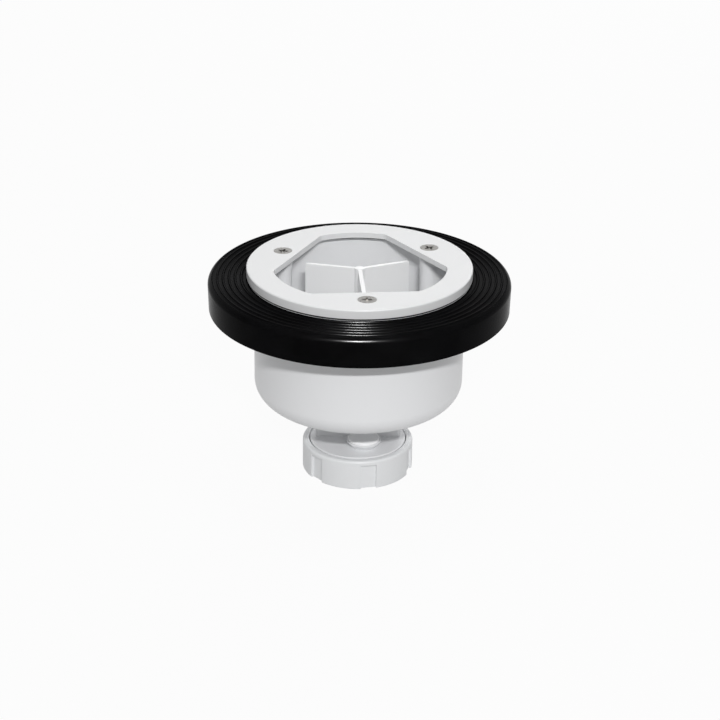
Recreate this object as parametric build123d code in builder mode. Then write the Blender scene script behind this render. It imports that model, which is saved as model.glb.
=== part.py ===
# Shower waste for a floor deck: a round bowl under a wide ribbed flange, a screwed clamping plate with
# a three-lobed mouth, a lift-out bell trap, and a compression outlet with a notched nut underneath.
# Millimetres, +Z up, origin at the centre of the nut's underside, which is the lowest point.
import os
from math import cos, radians, sin

from build123d import *

# Clearances
THREAD_CLEARANCE = 0.35
SEAT_CLEARANCE = 0.3
EDGE_BREAK = 0.4

# Outlet pipe and its compression joint
PIPE_RADIUS = 18.0
NUT_RADIUS = 28.0
NUT_HEIGHT = 15.6
NUT_LIP = 2.6
NUT_EDGE = 1.3
NOTCH_COUNT = 6
NOTCH_DEPTH = 1.7
NOTCH_WIDTH = 7.8
NOTCH_TOP_MARGIN = 2.6
NOTCH_FIRST_ANGLE = -78.0
SLIP_RING_THICKNESS = 1.2
WASHER_RIM = 2.1
WASHER_RIM_RADIUS = 22.0
CONE_HEIGHT = 3.6

# Outlet head with its threaded disc, half-round trunk up to the bowl, and the port with its plug
HEAD_RADIUS = 24.3
HEAD_STAND_OUT = 0.3
HEAD_ROOF = 3.0
CONE_STEP = 1.0
PIPE_STOP = 1.0
TRUNK_RADIUS = 21.5
TRUNK_WALL = 2.2
TRUNK_FACE_Y = -1.0
TRUNK_EDGE = 1.5
PORT_X = 3.1
PORT_Y = -10.2
PORT_RADIUS = 8.75
PORT_HEIGHT = 3.6
PLUG_RADIUS = 7.9
PLUG_CAP = 1.3
PLUG_EDGE = 0.9
PLUG_STEM_RADIUS = 4.8
PLUG_STEM_STEP = 1.0

# Bowl
BOWL_BOTTOM = 39.6
BOWL_RADIUS = 52.3
BOWL_CORNER = 10.7
BOWL_WALL = 2.5
BOWL_FLOOR = 2.8
BOWL_FLANGE_WIDTH = 2.9
BOWL_FLANGE_THICKNESS = 4.0
FOOT_HEIGHT = 12.4
STANDPIPE_Y = 10.2
STANDPIPE_BORE_RADIUS = 8.5
STANDPIPE_WALL = 2.0
STANDPIPE_HEIGHT = 24.0

# Ribbed flange ring
DECK_TOP = 104.6
RING_RADIUS = 75.0
RING_HEIGHT = 15.4
RING_DRAFT = 0.35
RING_SHOULDER = 3.2
RING_WEB = 8.4
RING_SKIRT = 3.6
RING_HUB_WALL = 3.8
GROOVE_COUNT = 6
RIDGE_PITCH = 2.95
GROOVE_WIDTH = 2.48
GROOVE_DEPTH = 1.1
GROOVE_OUTER_RADIUS = 71.8
RIB_COUNT = 24
RIB_THICKNESS = 2.0
RIB_ROOT = 1.0
SEAT_GASKET_THICKNESS = 1.0

# Clamping plate
PLATE_RADIUS = 55.9
PLATE_SKIN = 2.8
PLATE_SKIRT_DROP = 1.8
PLATE_SKIRT_WIDTH = 4.6
PLATE_EDGE = 0.8
CLAMP_GASKET_THICKNESS = 1.1
MOUTH_RADIUS = 43.3
MOUTH_FLAT_DISTANCE = 34.5
MOUTH_CORNER = 5.0
MOUTH_BEVEL = 0.9

# Screws, and the pillars that they go into
SCREW_COUNT = 3
SCREW_CIRCLE_RADIUS = 42.6
SCREW_FIRST_ANGLE = -85.0
SCREW_HEAD_RADIUS = 4.6
SCREW_SHANK_RADIUS = 2.0
SCREW_FIT = 0.05
SCREW_HOLE_DEPTH = 20.0
SCREW_TIP_GAP = 1.0
SCREW_SINK = 0.25
SCREW_CROSS_LENGTH = 5.0
SCREW_CROSS_WIDTH = 1.1
SCREW_CROSS_DEPTH = 1.5
PILLAR_RADIUS = 4.6
PILLAR_DEPTH = 22.0

# Lift-out bell of the trap
BELL_RADIUS = 29.5
BELL_WALL = 1.6
BELL_ROOF = 1.8
BELL_ROOF_GAP = 8.0
BELL_FOOT_HEIGHT = 9.0
BELL_FOOT_WIDTH = 10.0
BELL_EDGE = 3.0
VANE_THICKNESS = 2.0
VANE_HUB_RADIUS = 2.4
VANE_HUB_STEP = 0.3
VANE_TOP_SINK = 1.6
VANE_END_DROP = 2.6
LUG_HEIGHT = 3.0
LUG_THICKNESS = 1.8
LUG_LENGTH = 5.4

# Levels and radii that follow from the sizes above
HEAD_TOP = NUT_HEIGHT + HEAD_STAND_OUT
HEAD_MOUTH = NUT_LIP + SLIP_RING_THICKNESS + WASHER_RIM
SOCKET_RADIUS = PIPE_RADIUS + SEAT_CLEARANCE
LIP_RADIUS = SOCKET_RADIUS + SEAT_CLEARANCE
SOCKET_TOP = HEAD_TOP - HEAD_ROOF
CONE_TOP = HEAD_MOUTH + CONE_HEIGHT
PASSAGE_RADIUS = SOCKET_RADIUS - PIPE_STOP
NUT_BORE_RADIUS = HEAD_RADIUS + THREAD_CLEARANCE
BOWL_INNER_RADIUS = BOWL_RADIUS - BOWL_WALL
FLOOR_TOP = BOWL_BOTTOM + BOWL_FLOOR
FOOT_TOP = BOWL_BOTTOM + FOOT_HEIGHT
STANDPIPE_TOP = FLOOR_TOP + STANDPIPE_HEIGHT
FLANGE_RADIUS = BOWL_RADIUS + BOWL_FLANGE_WIDTH
RING_BOTTOM = DECK_TOP - RING_HEIGHT
RING_BORE_RADIUS = BOWL_RADIUS + SEAT_CLEARANCE
RING_LEDGE = DECK_TOP - BOWL_FLANGE_THICKNESS - SEAT_GASKET_THICKNESS
PLATE_BOTTOM = DECK_TOP + CLAMP_GASKET_THICKNESS
PLATE_SOFFIT = PLATE_BOTTOM + PLATE_SKIRT_DROP
PLATE_TOP = PLATE_SOFFIT + PLATE_SKIN
BELL_ROOF_TOP = STANDPIPE_TOP + BELL_ROOF_GAP + BELL_ROOF
VANE_TOP = PLATE_TOP - VANE_TOP_SINK
SCREW_ANGLES = [SCREW_FIRST_ANGLE + i * 360 / SCREW_COUNT for i in range(SCREW_COUNT)]
SCREW_NAMES = ["plate_screw_front", "plate_screw_right", "plate_screw_left"]


def on_circle(radius, angle):
    """Point on a circle about the vertical axis, with its angle in degrees."""
    return radius * cos(radians(angle)), radius * sin(radians(angle))


# Union nut: a cap with a lip under the thread and shallow grip notches that stop below the top rim
with BuildPart() as union_nut:
    with BuildSketch(Plane.XY):
        Circle(NUT_RADIUS)
    extrude(amount=NUT_HEIGHT)
    fillet(union_nut.edges().group_by(Axis.Z)[-1], NUT_EDGE)
    chamfer(union_nut.edges().group_by(Axis.Z)[0], EDGE_BREAK)
    with BuildSketch(Plane.XY.offset(NUT_LIP)):
        Circle(NUT_BORE_RADIUS)
    extrude(amount=NUT_HEIGHT, mode=Mode.SUBTRACT)
    with BuildSketch(Plane.XY):
        Circle(LIP_RADIUS)
    extrude(amount=NUT_LIP, mode=Mode.SUBTRACT)
    with BuildSketch(Plane.XY):
        with PolarLocations(NUT_RADIUS, NOTCH_COUNT, start_angle=NOTCH_FIRST_ANGLE):
            Rectangle(2 * NOTCH_DEPTH, NOTCH_WIDTH)
    extrude(amount=NUT_HEIGHT - NOTCH_TOP_MARGIN, mode=Mode.SUBTRACT)
union_nut.part.label = "union_nut"


# Slip ring: the thin washer that lets the nut turn without dragging the rubber
with BuildPart() as slip_ring:
    with BuildSketch(Plane.XY.offset(NUT_LIP)):
        Circle(NUT_BORE_RADIUS - THREAD_CLEARANCE)
        Circle(LIP_RADIUS, mode=Mode.SUBTRACT)
    extrude(amount=SLIP_RING_THICKNESS)
slip_ring.part.label = "slip_ring"


# Tapered rubber washer, squeezed between the slip ring and the cone in the head's mouth
with BuildPart() as cone_washer:
    with BuildSketch(Plane.XZ):
        with BuildLine():
            rim_bottom = HEAD_MOUTH - WASHER_RIM
            cone_fall = (WASHER_RIM_RADIUS - SOCKET_RADIUS) / (CONE_HEIGHT + CONE_STEP)
            Polyline(
                (SOCKET_RADIUS, rim_bottom),
                (WASHER_RIM_RADIUS, rim_bottom),
                (WASHER_RIM_RADIUS, HEAD_MOUTH),
                (WASHER_RIM_RADIUS - CONE_HEIGHT * cone_fall, CONE_TOP),
                (SOCKET_RADIUS, CONE_TOP),
                close=True,
            )
        make_face()
    revolve(axis=Axis.Z)
cone_washer.part.label = "cone_washer"


def half_round(radius, face_y):
    """Half-round section that lies behind an upright face, with rounded corners."""
    with BuildSketch() as section:
        Circle(radius)
        with Locations((0, face_y)):
            Rectangle(2 * radius, 2 * radius, align=(Align.CENTER, Align.MIN), mode=Mode.INTERSECT)
        fillet(section.vertices(), TRUNK_EDGE)
    return section.sketch


# Outlet head: threaded disc with the pipe socket, a stop for the pipe, and a round port
with BuildPart() as outlet_head:
    with BuildSketch(Plane.XY.offset(HEAD_MOUTH)):
        Circle(HEAD_RADIUS)
    extrude(amount=HEAD_TOP - HEAD_MOUTH)
    chamfer(outlet_head.edges().group_by(Axis.Z)[-1], EDGE_BREAK)
    with BuildSketch(Plane.XY.offset(HEAD_TOP)):
        with Locations((PORT_X, PORT_Y)):
            Circle(PORT_RADIUS)
    extrude(amount=PORT_HEIGHT)
    with BuildSketch(Plane.XY.offset(HEAD_MOUTH)):
        Circle(SOCKET_RADIUS)
    extrude(amount=SOCKET_TOP - HEAD_MOUTH, mode=Mode.SUBTRACT)
    with BuildSketch(Plane.XZ):
        with BuildLine():
            Polyline(
                (0, HEAD_MOUTH),
                (WASHER_RIM_RADIUS + SEAT_CLEARANCE, HEAD_MOUTH),
                (SOCKET_RADIUS, CONE_TOP + CONE_STEP),
                (0, CONE_TOP + CONE_STEP),
                close=True,
            )
        make_face()
    revolve(axis=Axis.Z, mode=Mode.SUBTRACT)
    with BuildSketch(Plane.XY.offset(SOCKET_TOP)):
        add(half_round(PASSAGE_RADIUS, TRUNK_FACE_Y + TRUNK_WALL))
    extrude(amount=HEAD_ROOF, mode=Mode.SUBTRACT)
    with BuildSketch(Plane.XY.offset(SOCKET_TOP)):
        with Locations((PORT_X, PORT_Y)):
            Circle(PLUG_STEM_RADIUS + SEAT_CLEARANCE / 2)
    extrude(amount=HEAD_ROOF + PORT_HEIGHT, mode=Mode.SUBTRACT)
outlet_head.part.label = "outlet_head"


# Trunk: half-round duct that carries the bowl on the outlet head
with BuildPart() as outlet_trunk:
    with BuildSketch(Plane.XY.offset(HEAD_TOP)):
        add(half_round(TRUNK_RADIUS, TRUNK_FACE_Y))
        add(half_round(PASSAGE_RADIUS, TRUNK_FACE_Y + TRUNK_WALL), mode=Mode.SUBTRACT)
    extrude(amount=BOWL_BOTTOM - HEAD_TOP)
outlet_trunk.part.label = "outlet_trunk"


# Plug of the port: a low cap with a rounded edge, on a stem
with BuildPart() as port_plug:
    stem_bottom = SOCKET_TOP + PLUG_STEM_STEP
    cap_bottom = HEAD_TOP + PORT_HEIGHT
    with BuildSketch(Plane.XY.offset(cap_bottom)):
        with Locations((PORT_X, PORT_Y)):
            Circle(PLUG_RADIUS)
    extrude(amount=PLUG_CAP)
    fillet(port_plug.edges().group_by(Axis.Z)[-1], PLUG_EDGE)
    with BuildSketch(Plane.XY.offset(stem_bottom)):
        with Locations((PORT_X, PORT_Y)):
            Circle(PLUG_STEM_RADIUS)
    extrude(amount=cap_bottom - stem_bottom)
port_plug.part.label = "port_plug"


# Foot of the bowl: shallow dish with a rounded corner, the way down to the trunk, and lugs for the bell
with BuildPart() as bowl_foot:
    with BuildSketch(Plane.XZ):
        with BuildLine():
            inner_corner = BOWL_CORNER - BOWL_WALL
            flat_radius = BOWL_RADIUS - BOWL_CORNER
            Line((0, BOWL_BOTTOM), (flat_radius, BOWL_BOTTOM))
            RadiusArc((flat_radius, BOWL_BOTTOM), (BOWL_RADIUS, BOWL_BOTTOM + BOWL_CORNER), -BOWL_CORNER)
            Polyline(
                (BOWL_RADIUS, BOWL_BOTTOM + BOWL_CORNER),
                (BOWL_RADIUS, FOOT_TOP),
                (BOWL_INNER_RADIUS, FOOT_TOP),
                (BOWL_INNER_RADIUS, FLOOR_TOP + inner_corner),
            )
            RadiusArc(
                (BOWL_INNER_RADIUS, FLOOR_TOP + inner_corner),
                (BOWL_INNER_RADIUS - inner_corner, FLOOR_TOP),
                inner_corner,
            )
            Polyline((BOWL_INNER_RADIUS - inner_corner, FLOOR_TOP), (0, FLOOR_TOP), (0, BOWL_BOTTOM))
        make_face()
    revolve(axis=Axis.Z)
    with BuildSketch(Plane.XY.offset(BOWL_BOTTOM)):
        with Locations((0, STANDPIPE_Y)):
            Circle(STANDPIPE_BORE_RADIUS)
    extrude(amount=BOWL_FLOOR, mode=Mode.SUBTRACT)
    lug_radius = BELL_RADIUS - BELL_WALL / 2
    lug_offset = BELL_FOOT_WIDTH / 2 + SEAT_CLEARANCE + LUG_THICKNESS / 2
    with BuildSketch(Plane.XY.offset(FLOOR_TOP)):
        with PolarLocations(lug_radius, SCREW_COUNT, start_angle=SCREW_FIRST_ANGLE):
            with Locations((0, lug_offset), (0, -lug_offset)):
                Rectangle(LUG_LENGTH, LUG_THICKNESS)
    extrude(amount=LUG_HEIGHT)
bowl_foot.part.label = "bowl_foot"


# Bowl: upright barrel on the foot, with a narrow top flange and the pillars of the screws
with BuildPart() as bowl:
    with BuildSketch(Plane.XY.offset(FOOT_TOP)):
        Circle(BOWL_RADIUS)
    extrude(amount=DECK_TOP - FOOT_TOP)
    with BuildSketch(Plane.XY.offset(DECK_TOP - BOWL_FLANGE_THICKNESS)):
        Circle(FLANGE_RADIUS)
    extrude(amount=BOWL_FLANGE_THICKNESS)
    with BuildSketch(Plane.XY.offset(FOOT_TOP)):
        Circle(BOWL_INNER_RADIUS)
    extrude(amount=DECK_TOP - FOOT_TOP, mode=Mode.SUBTRACT)
    pillar_reach = BOWL_INNER_RADIUS + BOWL_WALL / 2 - SCREW_CIRCLE_RADIUS
    with BuildSketch(Plane.XY.offset(DECK_TOP - PILLAR_DEPTH)):
        with PolarLocations(SCREW_CIRCLE_RADIUS, SCREW_COUNT, start_angle=SCREW_FIRST_ANGLE):
            Circle(PILLAR_RADIUS)
            Rectangle(pillar_reach, 2 * PILLAR_RADIUS, align=(Align.MIN, Align.CENTER))
    extrude(amount=PILLAR_DEPTH)
    with BuildSketch(Plane.XY.offset(DECK_TOP - SCREW_HOLE_DEPTH)):
        with PolarLocations(SCREW_CIRCLE_RADIUS, SCREW_COUNT, start_angle=SCREW_FIRST_ANGLE):
            Circle(SCREW_SHANK_RADIUS + SCREW_FIT)
    extrude(amount=SCREW_HOLE_DEPTH, mode=Mode.SUBTRACT)
bowl.part.label = "bowl"


# Standpipe of the trap, over the way down through the floor
with BuildPart() as standpipe:
    with BuildSketch(Plane.XY.offset(FLOOR_TOP)):
        with Locations((0, STANDPIPE_Y)):
            Circle(STANDPIPE_BORE_RADIUS + STANDPIPE_WALL)
            Circle(STANDPIPE_BORE_RADIUS, mode=Mode.SUBTRACT)
    extrude(amount=STANDPIPE_HEIGHT)
standpipe.part.label = "standpipe"


# Seat gasket under the bowl's flange
with BuildPart() as seat_gasket:
    with BuildSketch(Plane.XY.offset(RING_LEDGE)):
        Circle(FLANGE_RADIUS)
        Circle(RING_BORE_RADIUS, mode=Mode.SUBTRACT)
    extrude(amount=SEAT_GASKET_THICKNESS)
seat_gasket.part.label = "seat_gasket"


# Flange ring: rounded shoulder, concentric ridges on top, and a cored underside with radial ribs
with BuildPart() as flange_ring:
    with BuildSketch(Plane.XZ):
        with BuildLine():
            core_top = DECK_TOP - RING_WEB
            counterbore_radius = FLANGE_RADIUS + SEAT_CLEARANCE
            hub_radius = RING_BORE_RADIUS + RING_HUB_WALL
            skirt_radius = RING_RADIUS - RING_DRAFT - RING_SKIRT
            Polyline(
                (RING_BORE_RADIUS, RING_BOTTOM),
                (RING_BORE_RADIUS, RING_LEDGE),
                (counterbore_radius, RING_LEDGE),
                (counterbore_radius, DECK_TOP),
                (RING_RADIUS - RING_SHOULDER, DECK_TOP),
            )
            RadiusArc((RING_RADIUS - RING_SHOULDER, DECK_TOP), (RING_RADIUS, DECK_TOP - RING_SHOULDER), RING_SHOULDER)
            Polyline(
                (RING_RADIUS, DECK_TOP - RING_SHOULDER),
                (RING_RADIUS - RING_DRAFT, RING_BOTTOM),
                (skirt_radius, RING_BOTTOM),
                (skirt_radius, core_top),
                (hub_radius, core_top),
                (hub_radius, RING_BOTTOM),
                (RING_BORE_RADIUS, RING_BOTTOM),
            )
        make_face()
    revolve(axis=Axis.Z)
    # Grooves between the ridges
    with BuildSketch(Plane.XZ):
        for i in range(GROOVE_COUNT):
            with Locations((GROOVE_OUTER_RADIUS - i * RIDGE_PITCH, DECK_TOP)):
                Ellipse(GROOVE_WIDTH / 2, GROOVE_DEPTH)
    revolve(axis=Axis.Z, mode=Mode.SUBTRACT)
    # Radial ribs in the core
    with BuildSketch(Plane.XY.offset(RING_BOTTOM)):
        with PolarLocations(hub_radius - RIB_ROOT, RIB_COUNT):
            Rectangle(skirt_radius - hub_radius + 2 * RIB_ROOT, RIB_THICKNESS, align=(Align.MIN, Align.CENTER))
    extrude(amount=core_top - RING_BOTTOM)
flange_ring.part.label = "flange_ring"


# Clamping gasket between the flange and the plate
with BuildPart() as clamp_gasket:
    with BuildSketch(Plane.XY.offset(DECK_TOP)):
        Circle(FLANGE_RADIUS)
        Circle(BOWL_INNER_RADIUS, mode=Mode.SUBTRACT)
    extrude(amount=CLAMP_GASKET_THICKNESS)
clamp_gasket.part.label = "clamp_gasket"


# Clamping plate: thin skin with a down-turned skirt, screw pads, countersinks and the lobed mouth
with BuildPart() as cover_plate:
    with BuildSketch(Plane.XY.offset(PLATE_SOFFIT)):
        Circle(PLATE_RADIUS)
    extrude(amount=PLATE_SKIN)
    with BuildSketch(Plane.XY.offset(PLATE_BOTTOM)):
        Circle(PLATE_RADIUS)
        Circle(PLATE_RADIUS - PLATE_SKIRT_WIDTH, mode=Mode.SUBTRACT)
    extrude(amount=PLATE_SKIRT_DROP)
    fillet(cover_plate.edges().group_by(Axis.Z)[-1], PLATE_EDGE)
    with BuildSketch(Plane.XY.offset(DECK_TOP)):
        with PolarLocations(SCREW_CIRCLE_RADIUS, SCREW_COUNT, start_angle=SCREW_FIRST_ANGLE):
            Circle(PILLAR_RADIUS)
    extrude(amount=PLATE_SOFFIT - DECK_TOP)
    with BuildSketch(Plane.XY.offset(DECK_TOP)) as mouth:
        Circle(MOUTH_RADIUS)
        with PolarLocations(MOUTH_FLAT_DISTANCE, SCREW_COUNT, start_angle=SCREW_FIRST_ANGLE):
            Rectangle(MOUTH_RADIUS, 2 * MOUTH_RADIUS, align=(Align.MIN, Align.CENTER), mode=Mode.SUBTRACT)
        fillet(mouth.vertices(), MOUTH_CORNER)
    extrude(amount=PLATE_TOP - DECK_TOP, mode=Mode.SUBTRACT)
    mouth_edges = [
        edge
        for edge in cover_plate.edges().group_by(Axis.Z)[-1]
        if Vector(edge.center().X, edge.center().Y, 0).length < MOUTH_RADIUS
    ]
    chamfer(mouth_edges, MOUTH_BEVEL)
    with Locations(Plane.XY.offset(PLATE_TOP)):
        with PolarLocations(SCREW_CIRCLE_RADIUS, SCREW_COUNT, start_angle=SCREW_FIRST_ANGLE):
            CounterSinkHole(
                SCREW_SHANK_RADIUS + SEAT_CLEARANCE,
                SCREW_HEAD_RADIUS + SEAT_CLEARANCE,
                depth=PLATE_TOP - DECK_TOP,
                counter_sink_angle=90,
            )
cover_plate.part.label = "cover_plate"


# Countersunk screws with a cross recess
def screw_profile(head_top):
    """Half section of a countersunk screw under its head's top face, as a closed line."""
    cone_bottom = head_top - (SCREW_HEAD_RADIUS - SCREW_SHANK_RADIUS)
    tip = DECK_TOP - SCREW_HOLE_DEPTH + SCREW_TIP_GAP
    Polyline(
        (0, head_top),
        (SCREW_HEAD_RADIUS, head_top),
        (SCREW_SHANK_RADIUS, cone_bottom),
        (SCREW_SHANK_RADIUS, tip + SCREW_SHANK_RADIUS),
        (0, tip),
        close=True,
    )


screws = []
for screw_name, screw_angle in zip(SCREW_NAMES, SCREW_ANGLES):
    screw_top = PLATE_TOP - SCREW_SINK
    screw_x, screw_y = on_circle(SCREW_CIRCLE_RADIUS, screw_angle)
    screw_frame = Plane((screw_x, screw_y, 0), x_dir=(1, 0, 0), z_dir=(0, -1, 0))
    with BuildPart() as plate_screw:
        with BuildSketch(screw_frame):
            with BuildLine():
                screw_profile(screw_top)
            make_face()
        revolve(axis=Axis((screw_x, screw_y, 0), (0, 0, 1)))
        with BuildSketch(Plane.XY.offset(screw_top)):
            with Locations(Location((screw_x, screw_y, 0), (0, 0, screw_angle))):
                Rectangle(SCREW_CROSS_LENGTH, SCREW_CROSS_WIDTH)
                Rectangle(SCREW_CROSS_WIDTH, SCREW_CROSS_LENGTH)
        extrude(amount=-SCREW_CROSS_DEPTH, taper=20, mode=Mode.SUBTRACT)
    plate_screw.part.label = screw_name
    screws.append(plate_screw.part)


# Bell of the trap: an inverted cup on feet, with upright grip vanes that meet in the middle
with BuildPart() as trap_bell:
    with BuildSketch(Plane.XY.offset(FLOOR_TOP)):
        Circle(BELL_RADIUS)
    extrude(amount=BELL_ROOF_TOP - FLOOR_TOP)
    fillet(trap_bell.edges().group_by(Axis.Z)[-1], BELL_EDGE)
    with BuildSketch(Plane.XY.offset(FLOOR_TOP)):
        Circle(BELL_RADIUS - BELL_WALL)
    extrude(amount=BELL_ROOF_TOP - BELL_ROOF - FLOOR_TOP, mode=Mode.SUBTRACT)
    with BuildSketch(Plane.XY.offset(FLOOR_TOP)):
        Circle(BELL_RADIUS + BELL_WALL)
        Circle(BELL_RADIUS - 2 * BELL_WALL, mode=Mode.SUBTRACT)
        with PolarLocations(BELL_RADIUS, SCREW_COUNT, start_angle=SCREW_FIRST_ANGLE):
            Rectangle(BELL_FOOT_WIDTH, BELL_FOOT_WIDTH, mode=Mode.SUBTRACT)
    extrude(amount=BELL_FOOT_HEIGHT, mode=Mode.SUBTRACT)
    with BuildSketch(Plane.XY.offset(BELL_ROOF_TOP - BELL_ROOF / 2)):
        Circle(VANE_HUB_RADIUS)
    extrude(amount=VANE_TOP - BELL_ROOF_TOP + BELL_ROOF / 2)
    for vane_angle in SCREW_ANGLES:
        vane_plane = Plane((0, 0, 0), x_dir=(*on_circle(1, vane_angle), 0), z_dir=(*on_circle(1, vane_angle - 90), 0))
        with BuildSketch(vane_plane):
            with BuildLine():
                vane_foot = BELL_ROOF_TOP - BELL_ROOF / 2
                Polyline(
                    (0, vane_foot),
                    (BELL_RADIUS - BELL_EDGE, vane_foot),
                    (BELL_RADIUS, vane_foot + BELL_EDGE + BELL_ROOF),
                    (BELL_RADIUS, VANE_TOP - VANE_END_DROP),
                    (0, VANE_TOP - VANE_HUB_STEP),
                    close=True,
                )
            make_face()
        extrude(amount=VANE_THICKNESS / 2, both=True)
trap_bell.part.label = "trap_bell"


pieces = [
    union_nut.part,
    slip_ring.part,
    cone_washer.part,
    outlet_head.part,
    outlet_trunk.part,
    port_plug.part,
    bowl_foot.part,
    bowl.part,
    standpipe.part,
    seat_gasket.part,
    flange_ring.part,
    clamp_gasket.part,
    cover_plate.part,
    trap_bell.part,
    *screws,
]

os.makedirs("parts", exist_ok=True)
for piece in pieces:
    export_step(piece, f"parts/{piece.label}.step")
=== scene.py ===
# Looks of the shower waste: finely turned shells, plate, nut and screws,
# with moulded-plastic, rubber and steel finishes.
# Sizes are in millimetres and are turned into metres when a mesh is made.
from math import acos, asin, atan2, cos, degrees, pi, radians, sin, sqrt

import bmesh
import bpy
from mathutils import Matrix, Vector


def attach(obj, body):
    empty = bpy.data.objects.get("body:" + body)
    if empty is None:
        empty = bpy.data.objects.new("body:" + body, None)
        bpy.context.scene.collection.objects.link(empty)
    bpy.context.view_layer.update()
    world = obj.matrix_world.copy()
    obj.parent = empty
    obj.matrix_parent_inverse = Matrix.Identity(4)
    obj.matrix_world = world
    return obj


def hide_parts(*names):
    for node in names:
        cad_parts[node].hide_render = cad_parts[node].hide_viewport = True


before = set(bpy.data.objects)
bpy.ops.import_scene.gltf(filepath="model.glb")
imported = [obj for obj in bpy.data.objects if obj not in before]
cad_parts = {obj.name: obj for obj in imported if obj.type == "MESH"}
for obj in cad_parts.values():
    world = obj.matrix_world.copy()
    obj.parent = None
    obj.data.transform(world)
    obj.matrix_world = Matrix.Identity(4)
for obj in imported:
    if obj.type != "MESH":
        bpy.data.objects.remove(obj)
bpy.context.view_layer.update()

MM = 0.001
SEGMENTS = 240
SMALL_SEGMENTS = 72
ARC_STEPS = 8
SMALL_EDGE = 0.4
OVERRUN = 1.0

# Nut, slip ring and outlet head
NUT_RADIUS = 28.0
NUT_HEIGHT = 15.6
NUT_LIP = 2.6
NUT_BORE = 24.65
NUT_LIP_BORE = 18.6
NUT_EDGE = 1.3
NOTCH_COUNT = 6
NOTCH_DEPTH = 1.7
NOTCH_WIDTH = 7.8
NOTCH_TOP = 13.0
NOTCH_FIRST_ANGLE = -78.0
HEAD_RADIUS = 24.3
HEAD_MOUTH = 5.9
HEAD_TOP = 15.9
SOCKET_RADIUS = 18.3
SOCKET_TOP = 12.9
SEAT_RADIUS = 22.3
SEAT_TOP = 10.5
TRUNK_RADIUS = 21.5
TRUNK_FACE_Y = -1.0
TRUNK_WALL = 2.2
TRUNK_CORNER = 1.5
PASSAGE_RADIUS = 17.3
PORT_X = 3.1
PORT_Y = -10.2
PORT_RADIUS = 8.75
PORT_NECK = 6.2
PORT_TOP = 19.5
PORT_RIM = 0.6
PORT_BORE = 4.95
PLUG_RADIUS = 7.9
PLUG_TOP = 20.8
PLUG_EDGE = 0.9
PLUG_STEM_RADIUS = 4.8
PLUG_STEM_BOTTOM = 13.9

# Bowl
BOWL_BOTTOM = 39.6
BOWL_RADIUS = 52.3
BOWL_CORNER = 10.7
BOWL_WALL = 2.5
FLOOR_TOP = 42.4
FLANGE_RADIUS = 55.2
FLANGE_BOTTOM = 100.6
STANDPIPE_Y = 10.2
STANDPIPE_RADIUS = 10.5
STANDPIPE_BORE = 8.5
STANDPIPE_TOP = 66.4
PILLAR_RADIUS = 4.6
PILLAR_BOTTOM = 82.6
PILLAR_SINK = 0.02
LUG_TOP = 45.4
LUG_THICKNESS = 1.8
LUG_OFFSET = 6.2

# Flange ring
DECK_TOP = 104.6
RING_RADIUS = 75.0
RING_BOTTOM = 89.2
RING_FOOT_RADIUS = 74.65
RING_SHOULDER = 3.2
RING_BORE = 52.6
RING_LEDGE = 99.6
RING_COUNTERBORE = 55.5
CORE_TOP = 96.2
HUB_RADIUS = 56.4
SKIRT_RADIUS = 71.05
GROOVE_RADII = [71.8 - 2.95 * i for i in range(6)]
GROOVE_HALF_WIDTH = 1.239
GROOVE_DEPTH = 1.1
RIB_COUNT = 24
RIB_THICKNESS = 2.0
RIB_ROOT = 0.5

# Clamping plate and screws
PLATE_RADIUS = 55.9
PLATE_BOTTOM = 105.7
PLATE_SOFFIT = 107.5
PLATE_TOP = 110.3
PLATE_SKIRT_INNER = 51.3
PLATE_EDGE = 0.8
MOUTH_RADIUS = 43.3
MOUTH_FLAT = 34.5
MOUTH_CORNER = 5.0
SCREW_CIRCLE = 42.6
SCREW_ANGLES = [-85.0, 35.0, 155.0]
SCREW_HEAD = 4.6
SCREW_SHANK = 2.0
SCREW_FIT = 0.05
CROSS_ARM = (5.0, 1.1, 3.0)
CROSS_TICK = (5.8, 0.22, 0.5)
SCREW_TOP = 110.05
SCREW_TIP = 85.6
SINK_RADIUS = 4.9
SINK_RISE = 0.5
SHANK_HOLE = 2.3

# Bell of the trap
BELL_RADIUS = 29.5
BELL_WALL = 1.6
BELL_TOP = 76.2
BELL_EDGE = 3.0
BELL_SOFFIT = 74.4
BELL_FOOT_TOP = 51.4
BELL_FOOT_WIDTH = 10.0
VANE_TOP = 108.7
VANE_END_DROP = 2.9
VANE_ROOT = 0.9
VANE_SLOPE = 4.8
VANE_STEP = 0.3
VANE_HALF_THICKNESS = 1.0
HUB_POST_RADIUS = 2.4


# Mesh helpers


def new_object(name, mesh):
    """Object of that mesh in the scene."""
    obj = bpy.data.objects.new(name, mesh)
    bpy.context.scene.collection.objects.link(obj)
    return obj


def from_bmesh(name, bm):
    """Object made of a bmesh in millimetres, scaled to metres, with its faces turned outward."""
    bmesh.ops.recalc_face_normals(bm, faces=bm.faces)
    bmesh.ops.scale(bm, vec=(MM, MM, MM), verts=bm.verts)
    mesh = bpy.data.meshes.new(name)
    bm.to_mesh(mesh)
    bm.free()
    return new_object(name, mesh)


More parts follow.
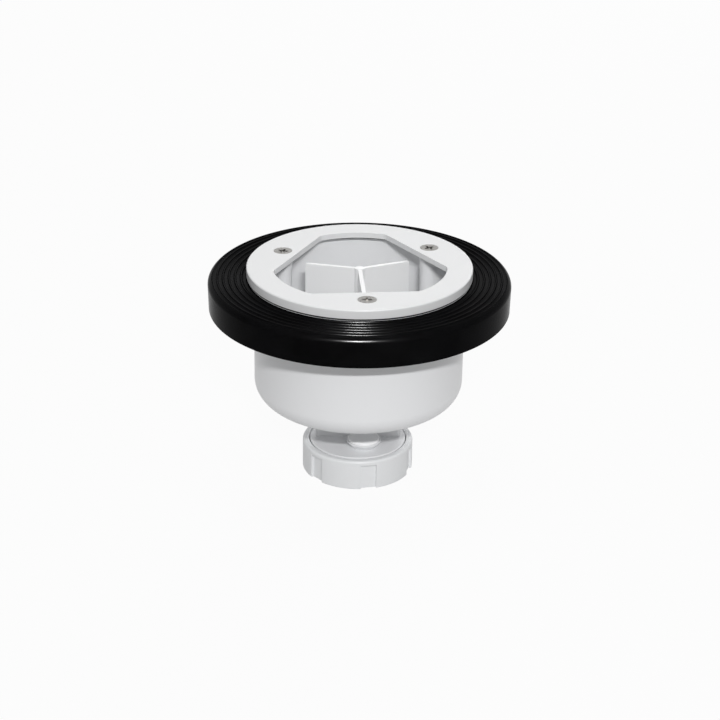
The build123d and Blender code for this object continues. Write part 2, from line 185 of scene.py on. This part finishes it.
def lathe(name, profile, segments=SEGMENTS, centre=(0.0, 0.0)):
    """Turns a closed profile of (radius, height) points about a vertical axis through centre."""
    bm = bmesh.new()
    rings = []
    for radius, height in profile:
        if radius < 1e-6:
            rings.append([bm.verts.new((centre[0], centre[1], height))])
            continue
        ring = []
        for k in range(segments):
            angle = 2 * pi * k / segments
            x = centre[0] + radius * cos(angle)
            y = centre[1] + radius * sin(angle)
            ring.append(bm.verts.new((x, y, height)))
        rings.append(ring)
    for low, high in zip(rings, rings[1:] + rings[:1]):
        for k in range(segments):
            corners = [low[k % len(low)], low[(k + 1) % len(low)]]
            corners += [high[(k + 1) % len(high)], high[k % len(high)]]
            distinct = list(dict.fromkeys(corners))
            if len(distinct) > 2:
                bm.faces.new(distinct)
    return from_bmesh(name, bm)


def prism(name, outline, bottom, top):
    """Upright prism over a closed outline of (x, y) points."""
    bm = bmesh.new()
    low = [bm.verts.new((x, y, bottom)) for x, y in outline]
    high = [bm.verts.new((x, y, top)) for x, y in outline]
    bm.faces.new(low)
    bm.faces.new(high)
    for i in range(len(outline)):
        j = (i + 1) % len(outline)
        bm.faces.new((low[i], low[j], high[j], high[i]))
    return from_bmesh(name, bm)


def block(name, size, place, angle):
    """Box of that size with its centre at place, turned about the vertical axis by degrees."""
    bm = bmesh.new()
    bmesh.ops.create_cube(bm, size=1.0)
    bmesh.ops.scale(bm, vec=size, verts=bm.verts)
    bmesh.ops.translate(bm, vec=place, verts=bm.verts)
    bmesh.ops.rotate(bm, cent=(0, 0, 0), matrix=Matrix.Rotation(radians(angle), 3, "Z"), verts=bm.verts)
    return from_bmesh(name, bm)


def bake(obj):
    """Applies the modifiers of an object to its mesh."""
    bpy.context.view_layer.update()
    shown = obj.evaluated_get(bpy.context.evaluated_depsgraph_get())
    mesh = bpy.data.meshes.new_from_object(shown)
    obj.modifiers.clear()
    obj.data = mesh


def carve(obj, tools, operation="DIFFERENCE"):
    """Cuts tools from obj, or joins them to it with operation UNION, and removes the tools."""
    for tool in tools:
        modifier = obj.modifiers.new("carve", "BOOLEAN")
        modifier.operation = operation
        modifier.solver = "EXACT"
        modifier.object = tool
        bake(obj)
        bpy.data.objects.remove(tool)
    return obj


def soften(obj, width, angle=40.0, steps=2):
    """Rounds the sharp edges of an object by a width in millimetres."""
    bm = bmesh.new()
    bm.from_mesh(obj.data)
    bmesh.ops.remove_doubles(bm, verts=bm.verts, dist=0.002 * MM)
    bmesh.ops.dissolve_degenerate(bm, dist=0.002 * MM, edges=bm.edges)
    bm.to_mesh(obj.data)
    bm.free()
    modifier = obj.modifiers.new("soften", "BEVEL")
    modifier.width = width * MM
    modifier.segments = steps
    modifier.limit_method = "ANGLE"
    modifier.angle_limit = radians(angle)
    modifier.use_clamp_overlap = True
    bake(obj)
    return obj


def finish_mesh(obj, angle=32.0):
    """Smooth shading with creases where faces meet at more than an angle, and flat faces kept flat."""
    for polygon in obj.data.polygons:
        polygon.use_smooth = True
    obj.data.set_sharp_from_angle(angle=radians(angle))
    modifier = obj.modifiers.new("even", "WEIGHTED_NORMAL")
    modifier.keep_sharp = True
    bake(obj)
    return obj


def arc(centre, radius, start, end, steps=ARC_STEPS):
    """Points on an arc from one angle to another, both in degrees and both ends included."""
    points = []
    for k in range(steps + 1):
        angle = radians(start + (end - start) * k / steps)
        points.append((centre[0] + radius * cos(angle), centre[1] + radius * sin(angle)))
    return points


def circle(centre, radius, steps=SMALL_SEGMENTS):
    """Points round a circle."""
    return arc(centre, radius, 0.0, 360.0 - 360.0 / steps, steps - 1)


def on_circle(radius, angle):
    """Point at an angle in degrees on a circle about the axis of the waste."""
    return radius * cos(radians(angle)), radius * sin(radians(angle))


# Pieces


def make_nut():
    """Union nut with rounded rim and six shallow grip notches."""
    profile = [(NUT_LIP_BORE, 0.0), (NUT_RADIUS - SMALL_EDGE, 0.0), (NUT_RADIUS, SMALL_EDGE)]
    profile += arc((NUT_RADIUS - NUT_EDGE, NUT_HEIGHT - NUT_EDGE), NUT_EDGE, 0, 90)
    profile += [(NUT_BORE + SMALL_EDGE, NUT_HEIGHT), (NUT_BORE, NUT_HEIGHT - SMALL_EDGE)]
    profile += [(NUT_BORE, NUT_LIP), (NUT_LIP_BORE, NUT_LIP)]
    nut = lathe("nut_body", profile)
    notch_size = (2 * NOTCH_DEPTH, NOTCH_WIDTH, 2 * NOTCH_TOP)
    notches = [
        block("notch", notch_size, (NUT_RADIUS, 0, 0), NOTCH_FIRST_ANGLE + 360 / NOTCH_COUNT * i)
        for i in range(NOTCH_COUNT)
    ]
    carve(nut, notches)
    return soften(nut, 0.3, 38)


def half_round(radius, face_y, corner):
    """Outline of the part of a circle beyond face_y, with rounded corners."""
    reach = radius - corner
    centre_y = face_y + corner
    centre_x = sqrt(reach * reach - centre_y * centre_y)
    tilt = degrees(atan2(centre_y, centre_x))
    points = arc((centre_x, centre_y), corner, -90, tilt)
    points += arc((0, 0), radius, tilt, 180 - tilt, 40)[1:-1]
    points += arc((-centre_x, centre_y), corner, 180 - tilt, 270)
    return points


def make_head():
    """Outlet head: threaded disc, half-round trunk and the collar of the port."""
    profile = [(0, HEAD_MOUTH), (HEAD_RADIUS, HEAD_MOUTH), (HEAD_RADIUS, HEAD_TOP - SMALL_EDGE)]
    profile += [(HEAD_RADIUS - SMALL_EDGE, HEAD_TOP), (0, HEAD_TOP)]
    head = lathe("head_body", profile, 160)
    trunk_outline = half_round(TRUNK_RADIUS, TRUNK_FACE_Y, TRUNK_CORNER)
    trunk = prism("trunk", trunk_outline, HEAD_TOP - OVERRUN, BOWL_BOTTOM)
    neck = [(0, HEAD_TOP - OVERRUN), (PORT_NECK, HEAD_TOP - OVERRUN), (PORT_NECK, HEAD_TOP)]
    neck += [(PORT_RADIUS, PORT_TOP - PORT_RIM), (PORT_RADIUS, PORT_TOP), (0, PORT_TOP)]
    collar = lathe("collar", neck, SMALL_SEGMENTS, (PORT_X, PORT_Y))
    carve(head, [trunk, collar], "UNION")
    cone = [(0, HEAD_MOUTH - OVERRUN), (SEAT_RADIUS, HEAD_MOUTH - OVERRUN), (SEAT_RADIUS, HEAD_MOUTH)]
    cone += [(SOCKET_RADIUS, SEAT_TOP), (SOCKET_RADIUS, SOCKET_TOP), (0, SOCKET_TOP)]
    passage_outline = half_round(PASSAGE_RADIUS, TRUNK_FACE_Y + TRUNK_WALL, TRUNK_CORNER)
    passage = prism("passage", passage_outline, SOCKET_TOP - OVERRUN, BOWL_BOTTOM + OVERRUN)
    port_outline = circle((PORT_X, PORT_Y), PORT_BORE, 48)
    port = prism("port", port_outline, SOCKET_TOP - OVERRUN, PORT_TOP + OVERRUN)
    carve(head, [lathe("socket", cone, 160), passage, port])
    return soften(head, 0.25)


def make_plug():
    """Plug of the port: a low cap with a rounded edge on a stem."""
    profile = [(0, PLUG_STEM_BOTTOM), (PLUG_STEM_RADIUS, PLUG_STEM_BOTTOM), (PLUG_STEM_RADIUS, PORT_TOP)]
    profile += [(PLUG_RADIUS, PORT_TOP)]
    profile += arc((PLUG_RADIUS - PLUG_EDGE, PLUG_TOP - PLUG_EDGE), PLUG_EDGE, 0, 90, 5)
    profile += [(0, PLUG_TOP)]
    return lathe("plug_body", profile, SMALL_SEGMENTS, (PORT_X, PORT_Y))


def make_bowl():
    """Bowl with its flange, screw pillars, standpipe and foot lugs."""
    inner_corner = BOWL_CORNER - BOWL_WALL
    inner_radius = BOWL_RADIUS - BOWL_WALL
    corner_radius = BOWL_RADIUS - BOWL_CORNER
    profile = [(0, BOWL_BOTTOM)]
    profile += arc((corner_radius, BOWL_BOTTOM + BOWL_CORNER), BOWL_CORNER, -90, 0, 16)
    profile += [(BOWL_RADIUS, FLANGE_BOTTOM), (FLANGE_RADIUS, FLANGE_BOTTOM), (FLANGE_RADIUS, DECK_TOP)]
    profile += [(inner_radius, DECK_TOP)]
    profile += arc((corner_radius, FLOOR_TOP + inner_corner), inner_corner, 0, -90, 14)
    profile += [(0, FLOOR_TOP)]
    shell = lathe("bowl_shell", profile)
    pipe_centre = (0, STANDPIPE_Y)
    pipe_outline = circle(pipe_centre, STANDPIPE_RADIUS)
    additions = [prism("pipe", pipe_outline, FLOOR_TOP - OVERRUN, STANDPIPE_TOP)]
    for angle in SCREW_ANGLES:
        reach = inner_radius + BOWL_WALL / 2
        outline = arc((SCREW_CIRCLE, 0), PILLAR_RADIUS, 90, 270, 20)
        outline += [(reach, -PILLAR_RADIUS), (reach, PILLAR_RADIUS)]
        turned = [turn(point, angle) for point in outline]
        additions.append(prism("pillar", turned, PILLAR_BOTTOM, DECK_TOP - PILLAR_SINK))
        for side in (-1, 1):
            size = (3 * LUG_THICKNESS, LUG_THICKNESS, 2 * (LUG_TOP - FLOOR_TOP))
            place = (BELL_RADIUS - BELL_WALL / 2, side * LUG_OFFSET, FLOOR_TOP)
            additions.append(block("lug", size, place, angle))
    carve(shell, additions, "UNION")
    bore_outline = circle(pipe_centre, STANDPIPE_BORE)
    cuts = [prism("bore", bore_outline, BOWL_BOTTOM - OVERRUN, STANDPIPE_TOP + OVERRUN)]
    for angle in SCREW_ANGLES:
        hole = circle(on_circle(SCREW_CIRCLE, angle), SCREW_SHANK + SCREW_FIT, 32)
        cuts.append(prism("pilot", hole, SCREW_TIP - OVERRUN, DECK_TOP + OVERRUN))
    carve(shell, cuts)
    return shell


def turn(point, angle):
    """Point turned about the axis by an angle in degrees."""
    x, y = point
    c, s = cos(radians(angle)), sin(radians(angle))
    return x * c - y * s, x * s + y * c


def ring_top_profile():
    """Rounded shoulder and concentric ridges of the flange, from the outside inward."""
    shoulder_centre = (RING_RADIUS - RING_SHOULDER, DECK_TOP - RING_SHOULDER)
    points = arc(shoulder_centre, RING_SHOULDER, 0, 66, 12)
    steps = 12
    for number, radius in enumerate(GROOVE_RADII):
        for k in range(steps + 1):
            offset = GROOVE_HALF_WIDTH * cos(pi * k / steps)
            depth = GROOVE_DEPTH * sin(pi * k / steps)
            if number == 0 and offset > 0.95 * GROOVE_HALF_WIDTH:
                continue
            if radius + offset > RING_COUNTERBORE + 0.1:
                points.append((radius + offset, DECK_TOP - depth))
    points.append((RING_COUNTERBORE, DECK_TOP))
    return points


def make_ring():
    """Flange ring with its ridges, and radial ribs in the cored underside."""
    profile = [(RING_FOOT_RADIUS, RING_BOTTOM)] + ring_top_profile()
    profile += [(RING_COUNTERBORE, RING_LEDGE), (RING_BORE, RING_LEDGE), (RING_BORE, RING_BOTTOM)]
    profile += [(HUB_RADIUS, RING_BOTTOM), (HUB_RADIUS, CORE_TOP)]
    profile += [(SKIRT_RADIUS, CORE_TOP), (SKIRT_RADIUS, RING_BOTTOM)]
    ring = lathe("flange_body", profile)
    length = SKIRT_RADIUS - HUB_RADIUS + 2 * RIB_ROOT
    height = CORE_TOP - RING_BOTTOM + RIB_ROOT
    size = (length, RIB_THICKNESS, height)
    place = ((SKIRT_RADIUS + HUB_RADIUS) / 2, 0, RING_BOTTOM + height / 2)
    ribs = [block("rib", size, place, 360 / RIB_COUNT * i) for i in range(RIB_COUNT)]
    merged = bmesh.new()
    for rib in ribs:
        merged.from_mesh(rib.data)
        bpy.data.objects.remove(rib)
    mesh = bpy.data.meshes.new("ribs")
    merged.to_mesh(mesh)
    merged.free()
    return carve(ring, [new_object("ribs", mesh)], "UNION")


def mouth_outline():
    """Circle with three flats beside the screws, with rounded corners."""
    across = MOUTH_FLAT - MOUTH_CORNER
    along = sqrt((MOUTH_RADIUS - MOUTH_CORNER) ** 2 - across**2)
    lean = degrees(acos(across / (MOUTH_RADIUS - MOUTH_CORNER)))
    points = []
    for angle in SCREW_ANGLES:
        first = [turn(p, angle) for p in arc((across, -along), MOUTH_CORNER, -lean, 0)]
        second = [turn(p, angle) for p in arc((across, along), MOUTH_CORNER, 0, lean)]
        wide = arc((0, 0), MOUTH_RADIUS, angle + lean, angle + 120 - lean, 30)[1:-1]
        points += first + second + wide
    return points


def make_plate():
    """Clamping plate with its skirt, screw pads, countersinks and lobed mouth."""
    profile = [(0, PLATE_SOFFIT), (PLATE_SKIRT_INNER, PLATE_SOFFIT), (PLATE_SKIRT_INNER, PLATE_BOTTOM)]
    profile += [(PLATE_RADIUS, PLATE_BOTTOM)]
    profile += arc((PLATE_RADIUS - PLATE_EDGE, PLATE_TOP - PLATE_EDGE), PLATE_EDGE, 0, 90, 6)
    profile += [(0, PLATE_TOP)]
    plate = lathe("plate_body", profile)
    pads = [
        prism("pad", circle(on_circle(SCREW_CIRCLE, angle), PILLAR_RADIUS), DECK_TOP, PLATE_TOP - OVERRUN)
        for angle in SCREW_ANGLES
    ]
    carve(plate, pads, "UNION")
    carve(plate, [prism("mouth", mouth_outline(), DECK_TOP - OVERRUN, PLATE_TOP + OVERRUN)])
    sink = [(0, DECK_TOP - OVERRUN), (SHANK_HOLE, DECK_TOP - OVERRUN)]
    sink += [(SHANK_HOLE, PLATE_TOP - SINK_RADIUS + SHANK_HOLE)]
    sink += [(SINK_RADIUS + SINK_RISE, PLATE_TOP + SINK_RISE), (0, PLATE_TOP + SINK_RISE)]
    carve(plate, [lathe("sink", sink, 64, on_circle(SCREW_CIRCLE, angle)) for angle in SCREW_ANGLES])
    return soften(plate, 0.45, 50, 3)


def make_screw(name, angle):
    """Countersunk screw with a cross recess and the four fine marks between its arms."""
    place = on_circle(SCREW_CIRCLE, angle)
    profile = [(0, SCREW_TIP), (SCREW_SHANK, SCREW_TIP + SCREW_SHANK)]
    profile += [(SCREW_SHANK, SCREW_TOP - SCREW_HEAD + SCREW_SHANK), (SCREW_HEAD, SCREW_TOP - 0.02)]
    profile += [(SCREW_HEAD - 0.25, SCREW_TOP), (0, SCREW_TOP)]
    screw = lathe(name, profile, 64, place)
    recess = [block("arm", CROSS_ARM, (0, 0, SCREW_TOP), arm + angle) for arm in (0, 90)]
    recess += [block("tick", CROSS_TICK, (0, 0, SCREW_TOP), arm + angle) for arm in (45, 135)]
    pit = [(0, SCREW_TOP - 2.2), (1.25, SCREW_TOP - 0.6), (1.4, SCREW_TOP + 1), (0, SCREW_TOP + 1)]
    recess.append(lathe("pit", pit, 24))
    for shape in recess:
        shape.data.transform(Matrix.Translation(Vector((place[0] * MM, place[1] * MM, 0))))
    return carve(screw, recess)


def make_bell():
    """Bell of the trap: inverted cup on three feet, with upright vanes that meet on the axis."""
    inner = BELL_RADIUS - BELL_WALL
    profile = [(BELL_RADIUS, FLOOR_TOP)]
    profile += arc((BELL_RADIUS - BELL_EDGE, BELL_TOP - BELL_EDGE), BELL_EDGE, 0, 90)
    profile += [(0, BELL_TOP), (0, BELL_SOFFIT), (inner, BELL_SOFFIT), (inner, FLOOR_TOP)]
    bell = lathe("bell_body", profile, 160)
    half_foot = degrees(BELL_FOOT_WIDTH / 2 / BELL_RADIUS)
    windows = []
    for angle in SCREW_ANGLES:
        outside = arc((0, 0), BELL_RADIUS + 2, angle + half_foot, angle + 120 - half_foot, 24)
        inside = arc((0, 0), inner - 2, angle + 120 - half_foot, angle + half_foot, 24)
        windows.append(prism("window", outside + inside, FLOOR_TOP - OVERRUN, BELL_FOOT_TOP))
    carve(bell, windows)
    carve(bell, [make_vanes()], "UNION")
    return soften(bell, 0.3, 45)


def make_vanes():
    """Post and three upright vanes as one star, under a top that falls outward."""
    foot = BELL_TOP - VANE_ROOT
    reach = BELL_RADIUS + 2
    post = HUB_POST_RADIUS + 0.05
    root = degrees(asin(VANE_HALF_THICKNESS / HUB_POST_RADIUS))
    star = []
    for angle in SCREW_ANGLES:
        star += [turn((reach, -VANE_HALF_THICKNESS), angle), turn((reach, VANE_HALF_THICKNESS), angle)]
        star += arc((0, 0), HUB_POST_RADIUS, angle + root, angle + 120 - root, 10)
    vanes = prism("vanes", star, foot - OVERRUN, VANE_TOP + OVERRUN)
    hull = [(0, foot), (BELL_RADIUS - BELL_EDGE, foot), (BELL_RADIUS, foot + VANE_SLOPE)]
    hull += [(BELL_RADIUS, VANE_TOP - VANE_END_DROP), (post, VANE_TOP - VANE_STEP)]
    hull += [(post, VANE_TOP), (0, VANE_TOP)]
    return carve(vanes, [lathe("hull", hull, 150)], "INTERSECT")


# Materials


class Finish:
    """Small builder of a Principled material with noise on its colour, roughness and surface."""

    def __init__(self, name, colour, roughness, **sockets):
        self.material = bpy.data.materials.new(name)
        self.material.use_nodes = True
        self.nodes = self.material.node_tree.nodes
        self.links = self.material.node_tree.links
        self.shader = self.nodes["Principled BSDF"]
        self.shader.inputs["Base Color"].default_value = (*colour, 1)
        self.shader.inputs["Roughness"].default_value = roughness
        for socket, value in sockets.items():
            self.shader.inputs[socket.replace("_", " ")].default_value = value
        self.place = self.nodes.new("ShaderNodeTexCoord").outputs["Object"]

    def noise(self, scale, detail=3.0, stretch=(1, 1, 1)):
        """Noise that is scale cells to the metre, drawn out by stretch."""
        mapping = self.nodes.new("ShaderNodeMapping")
        mapping.inputs["Scale"].default_value = stretch
        texture = self.nodes.new("ShaderNodeTexNoise")
        texture.inputs["Scale"].default_value = scale
        texture.inputs["Detail"].default_value = detail
        self.links.new(self.place, mapping.inputs["Vector"])
        self.links.new(mapping.outputs["Vector"], texture.inputs["Vector"])
        return texture.outputs["Fac"]

    def vary_colour(self, factor, low, high):
        """Colour that runs from low to high with a factor."""
        ramp = self.nodes.new("ShaderNodeValToRGB")
        ramp.color_ramp.elements[0].position = 0.3
        ramp.color_ramp.elements[0].color = (*low, 1)
        ramp.color_ramp.elements[1].position = 0.7
        ramp.color_ramp.elements[1].color = (*high, 1)
        self.links.new(factor, ramp.inputs["Fac"])
        self.links.new(ramp.outputs["Color"], self.shader.inputs["Base Color"])

    def vary_roughness(self, factor, low, high):
        """Roughness that runs from low to high with a factor."""
        span = self.nodes.new("ShaderNodeMapRange")
        span.inputs["To Min"].default_value = low
        span.inputs["To Max"].default_value = high
        self.links.new(factor, span.inputs["Value"])
        self.links.new(span.outputs["Result"], self.shader.inputs["Roughness"])

    def bump(self, factor, height, strength=1.0):
        """Relief of that height in millimetres."""
        node = self.nodes.new("ShaderNodeBump")
        node.inputs["Strength"].default_value = strength
        node.inputs["Distance"].default_value = height * MM
        self.links.new(factor, node.inputs["Height"])
        self.links.new(node.outputs["Normal"], self.shader.inputs["Normal"])


def white_plastic(name, colour, roughness, grain):
    """Moulded white plastic: uneven gloss and a fine orange-peel skin."""
    finish = Finish(name, colour, roughness, Specular_IOR_Level=0.5)
    finish.vary_roughness(finish.noise(500, 2), roughness - 0.025, roughness + 0.025)
    finish.bump(finish.noise(900, 2), grain)
    return finish.material


def black_plastic():
    """Glossy black of the flange, with faint turning marks and dull patches."""
    finish = Finish("flange_black", (0.002, 0.002, 0.0022), 0.22, Specular_IOR_Level=0.012)
    finish.vary_colour(finish.noise(60, 4), (0.0015, 0.0015, 0.0017), (0.004, 0.004, 0.0045))
    finish.vary_roughness(finish.noise(170, 5), 0.16, 0.28)
    finish.bump(finish.noise(420, 3, (1, 1, 2.5)), 0.02)
    return finish.material


def seal_rubber():
    """Matt black rubber with a fine grain."""
    finish = Finish("seal_rubber", (0.02, 0.02, 0.02), 0.7)
    finish.vary_colour(finish.noise(200), (0.014, 0.014, 0.014), (0.03, 0.03, 0.03))
    finish.bump(finish.noise(1500), 0.03)
    return finish.material


def screw_steel():
    """Stainless steel with fine brushing and darker stains."""
    finish = Finish("screw_steel", (0.42, 0.41, 0.39), 0.34, Metallic=1.0)
    finish.vary_colour(finish.noise(700, 4), (0.24, 0.232, 0.22), (0.44, 0.43, 0.415))
    finish.vary_roughness(finish.noise(1500, 3, (1, 6, 1)), 0.24, 0.46)
    finish.bump(finish.noise(2600, 2, (1, 8, 1)), 0.02)
    return finish.material


def dress(piece, material, body, slot, *nodes):
    """Gives a piece its material and body, and lets it stand for CAD nodes. The slot argument is not
    used.
    """
    finish_mesh(piece)
    piece.data.materials.clear()
    piece.data.materials.append(material)
    for polygon in piece.data.polygons:
        polygon.material_index = 0
    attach(piece, body)
    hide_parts(*nodes)


def make_object():
    """Every visible piece, and the finishes of the CAD nodes that stay."""
    bowl_white = white_plastic("bowl_white", (0.82, 0.826, 0.838), 0.34, 0.012)
    # Painted shade: this white is darker than the bowl's so that the plate's top, which the top lamp
    # lights strongly, is toned down.
    plate_white = white_plastic("plate_white", (0.77, 0.775, 0.78), 0.3, 0.008)
    # Painted light: this white is lighter than the bowl's so that the bell inside the mouth and the plug
    # under the bowl, both in shade, read brighter.
    insert_white = white_plastic("insert_white", (0.925, 0.93, 0.935), 0.3, 0.006)
    nut_white = white_plastic("nut_white", (0.82, 0.83, 0.84), 0.38, 0.015)
    steel = screw_steel()
    dress(make_nut(), nut_white, "nut", "nut_white", "union_nut")
    dress(make_head(), bowl_white, "waste", "body_white", "outlet_head", "outlet_trunk")
    dress(make_plug(), insert_white, "waste", "insert_white", "port_plug")
    dress(make_bowl(), bowl_white, "waste", "body_white", "bowl", "bowl_foot", "standpipe")
    ring = make_ring()
    dress(ring, black_plastic(), "waste", "flange_black", "flange_ring")
    dress(make_plate(), plate_white, "waste", "plate_white", "cover_plate")
    dress(make_bell(), insert_white, "bell", "insert_white", "trap_bell")
    for place, angle in zip(("front", "right", "left"), SCREW_ANGLES):
        dress(make_screw(f"screw_{place}", angle), steel, "waste", "screw_steel", f"plate_screw_{place}")
    rubber = seal_rubber()
    for node, material in (
        ("cone_washer", rubber),
        ("seat_gasket", rubber),
        ("clamp_gasket", rubber),
        ("slip_ring", nut_white),
    ):
        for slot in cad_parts[node].material_slots:
            slot.material = material
    return ring


# Stage

EYE_ELEVATION = 22.72
EYE_DISTANCE = 1.0
EYE_ROLL = 0.69
FOCAL_PIXELS = 2023.5
IMAGE_SIDE = 720
TARGET_PIXEL_X = 359.59
TARGET_PIXEL_Y = 275.57
SENSOR_WIDTH = 36.0
WORLD_LIGHT = 0.33
FLOOR_SIZE = 6000
FLOOR_WHITE = 0.5
FLOOR_GLOW_SHARE = 0.95


def make_camera():
    """Camera at the photograph's angle, looking at the centre of the flange's top."""
    data = bpy.data.cameras.new("camera")
    data.sensor_width = SENSOR_WIDTH
    data.lens = FOCAL_PIXELS / IMAGE_SIDE * SENSOR_WIDTH
    data.shift_x = (IMAGE_SIDE / 2 - TARGET_PIXEL_X) / IMAGE_SIDE
    data.shift_y = (TARGET_PIXEL_Y - IMAGE_SIDE / 2) / IMAGE_SIDE
    camera = bpy.data.objects.new("camera", data)
    bpy.context.scene.collection.objects.link(camera)
    target = Vector((0, 0, DECK_TOP * MM))
    back = Vector((0, -cos(radians(EYE_ELEVATION)), sin(radians(EYE_ELEVATION))))
    facing = back.to_track_quat("Z", "Y").to_matrix().to_4x4()
    roll = Matrix.Rotation(radians(EYE_ROLL), 4, "Z")
    camera.matrix_world = Matrix.Translation(target + back * EYE_DISTANCE) @ facing @ roll
    bpy.context.scene.camera = camera


def seen_by_eye(nodes, links):
    """Output that is 1 for what the eye sees, directly, in a reflection or through glass."""
    path = nodes.new("ShaderNodeLightPath")
    seen = path.outputs["Is Camera Ray"]
    for ray in ("Is Glossy Ray", "Is Transmission Ray"):
        larger = nodes.new("ShaderNodeMath")
        larger.operation = "MAXIMUM"
        links.new(seen, larger.inputs[0])
        links.new(path.outputs[ray], larger.inputs[1])
        seen = larger.outputs[0]
    return seen


def make_floor():
    """Pale floor that shows white to the eye and in reflections, and keeps a soft shadow."""
    bm = bmesh.new()
    bmesh.ops.create_grid(bm, x_segments=1, y_segments=1, size=FLOOR_SIZE)
    floor = from_bmesh("floor", bm)
    material = bpy.data.materials.new("floor_white")
    material.use_nodes = True
    nodes = material.node_tree.nodes
    links = material.node_tree.links
    nodes.remove(nodes["Principled BSDF"])
    matt = nodes.new("ShaderNodeBsdfDiffuse")
    matt.inputs["Color"].default_value = (FLOOR_WHITE, FLOOR_WHITE, FLOOR_WHITE, 1)
    glow = nodes.new("ShaderNodeEmission")
    share = nodes.new("ShaderNodeMath")
    share.operation = "MULTIPLY"
    share.inputs[1].default_value = FLOOR_GLOW_SHARE
    mix = nodes.new("ShaderNodeMixShader")
    links.new(seen_by_eye(nodes, links), share.inputs[0])
    links.new(share.outputs[0], mix.inputs[0])
    links.new(matt.outputs[0], mix.inputs[1])
    links.new(glow.outputs[0], mix.inputs[2])
    links.new(mix.outputs[0], nodes["Material Output"].inputs["Surface"])
    floor.data.materials.append(material)


def make_world():
    """White surroundings to the eye, and a moderate even light on the object."""
    world = bpy.data.worlds.new("surroundings")
    world.use_nodes = True
    nodes = world.node_tree.nodes
    links = world.node_tree.links
    lit = nodes["Background"]
    lit.inputs["Color"].default_value = (1, 1, 1, 1)
    lit.inputs["Strength"].default_value = WORLD_LIGHT
    white = nodes.new("ShaderNodeBackground")
    white.inputs["Color"].default_value = (1, 1, 1, 1)
    mix = nodes.new("ShaderNodeMixShader")
    links.new(seen_by_eye(nodes, links), mix.inputs[0])
    links.new(lit.outputs[0], mix.inputs[1])
    links.new(white.outputs[0], mix.inputs[2])
    links.new(mix.outputs[0], nodes["World Output"].inputs["Surface"])
    bpy.context.scene.world = world


LAMP_TARGET = Vector((0, 0, 0.07))
LAMPS = (
    ("key", (0.15, -1.72, 1.16), (0.3, 0.05), 23.5),
    ("top", (0.0, 0.1, 1.5), (0.5, 0.5), 4.5),
    ("fill", (0.3, 1.75, 0.75), (0.8, 0.5), 14.0),
    ("glint", (-0.02, -1.73, 1.08), (0.45, 0.2), 1200.0),
)


def make_lamps(ring):
    """Soft studio lamps aimed at the waste, of which the glint is there for the flange ring only."""
    shiny = bpy.data.collections.new("shiny")
    shiny.objects.link(ring)
    for name, place, size, power in LAMPS:
        data = bpy.data.lights.new(name, "AREA")
        data.shape = "RECTANGLE"
        data.size, data.size_y = size
        data.energy = power
        lamp = bpy.data.objects.new(name, data)
        lamp.visible_glossy = name != "fill"
        if name == "glint":
            lamp.visible_diffuse = False
            lamp.light_linking.receiver_collection = shiny
        bpy.context.scene.collection.objects.link(lamp)
        facing = (LAMP_TARGET - Vector(place)).to_track_quat("-Z", "Y").to_matrix().to_4x4()
        lamp.matrix_world = Matrix.Translation(Vector(place)) @ facing


make_camera()
make_floor()
make_world()
make_lamps(make_object())
bpy.context.scene.view_settings.view_transform = "Standard"
